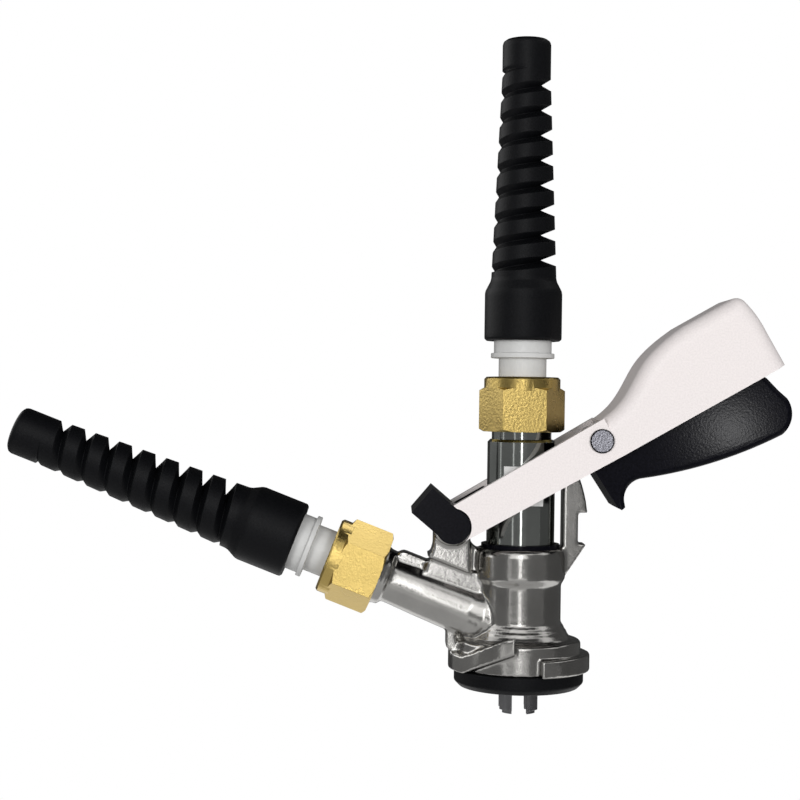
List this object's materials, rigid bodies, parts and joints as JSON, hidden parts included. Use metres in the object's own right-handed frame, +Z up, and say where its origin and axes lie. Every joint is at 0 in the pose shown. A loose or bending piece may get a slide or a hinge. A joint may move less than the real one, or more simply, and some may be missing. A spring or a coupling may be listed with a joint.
{
  "type": "keg coupler",
  "caption": "Keg coupler with a bayonet flange, a sliding probe worked by a lever handle with a squeeze grip, a gas arm, and two hose ends with brass nuts and black bend reliefs.",
  "frame": {"origin": "on the probe's axis, at the lower face of the seal that sits on the keg's valve", "axes": "+Z up the probe to the beer hose, +X to the lever's grip, -X to the gas arm, Y along the hinge pins"},
  "size_m": [0.2815, 0.0508, 0.2433],
  "materials": {
    "cast_metal": "bright nickel plate on a cast body, smooth",
    "bright_tube": "polished",
    "pin_steel": "turned steel",
    "brass": "machined, dull on the flats",
    "white_plastic": "satin, moulded",
    "pale_shell": "satin pale grey paint",
    "black_plastic": "moulded, slightly grained",
    "black_rubber": "matte",
    "bush_plastic": "smooth",
    "ball_steel": "polished"
  },
  "bodies": {
    "body": {"coupler_body": "cast_metal", "bottom_seal": "black_rubber", "guide_bush": "black_plastic", "gas_check_valve": "black_rubber", "gas_nut": "brass", "gas_washer": "black_rubber", "gas_adapter": "white_plastic", "gas_hose_barb": "pin_steel", "gas_bend_relief": "black_rubber"},
    "probe": {"probe_sleeve": "bright_tube", "probe_stem": "pin_steel", "probe_trunnions": "pin_steel", "trunnion_shoes": "bush_plastic", "probe_lower_oring": "black_rubber", "probe_upper_oring": "black_rubber", "beer_nut": "brass", "beer_washer": "black_rubber", "beer_adapter": "white_plastic", "beer_hose_barb": "pin_steel", "beer_bend_relief": "black_rubber"},
    "ball": {"beer_check_ball": "ball_steel"},
    "lever": {"lever_handle": "pale_shell", "hinge_knuckle": "black_plastic", "hinge_pin": "pin_steel", "trigger_pin": "pin_steel", "trigger_spring": "pin_steel"},
    "trigger": {"trigger": "black_plastic"}
  },
  "joints": [
    {"name": "lever_hinge", "type": "hinge", "parent": "body", "child": "lever", "pos_m": [-0.025, 0, 0.0584], "axis": [0, 1, 0], "range_deg": [0, 28]},
    {"name": "probe_slide", "type": "slide", "parent": "body", "child": "probe", "axis": [0, 0, -1], "range_m": [0, 0.01356]},
    {"name": "trigger_pivot", "type": "hinge", "parent": "lever", "child": "trigger", "pos_m": [0.02708, 0, 0.08939], "axis": [0, -1, 0], "range_deg": [-6, 8], "stiffness_Nm_per_rad": 1.5},
    {"name": "check_ball_lift", "type": "slide", "parent": "probe", "child": "ball", "axis": [0, 0, 1], "range_m": [0, 0.003]}
  ],
  "couplings": [
    {"joint": "probe_slide", "follows": "lever_hinge", "m_per_rad": 0.027749}
  ]
}
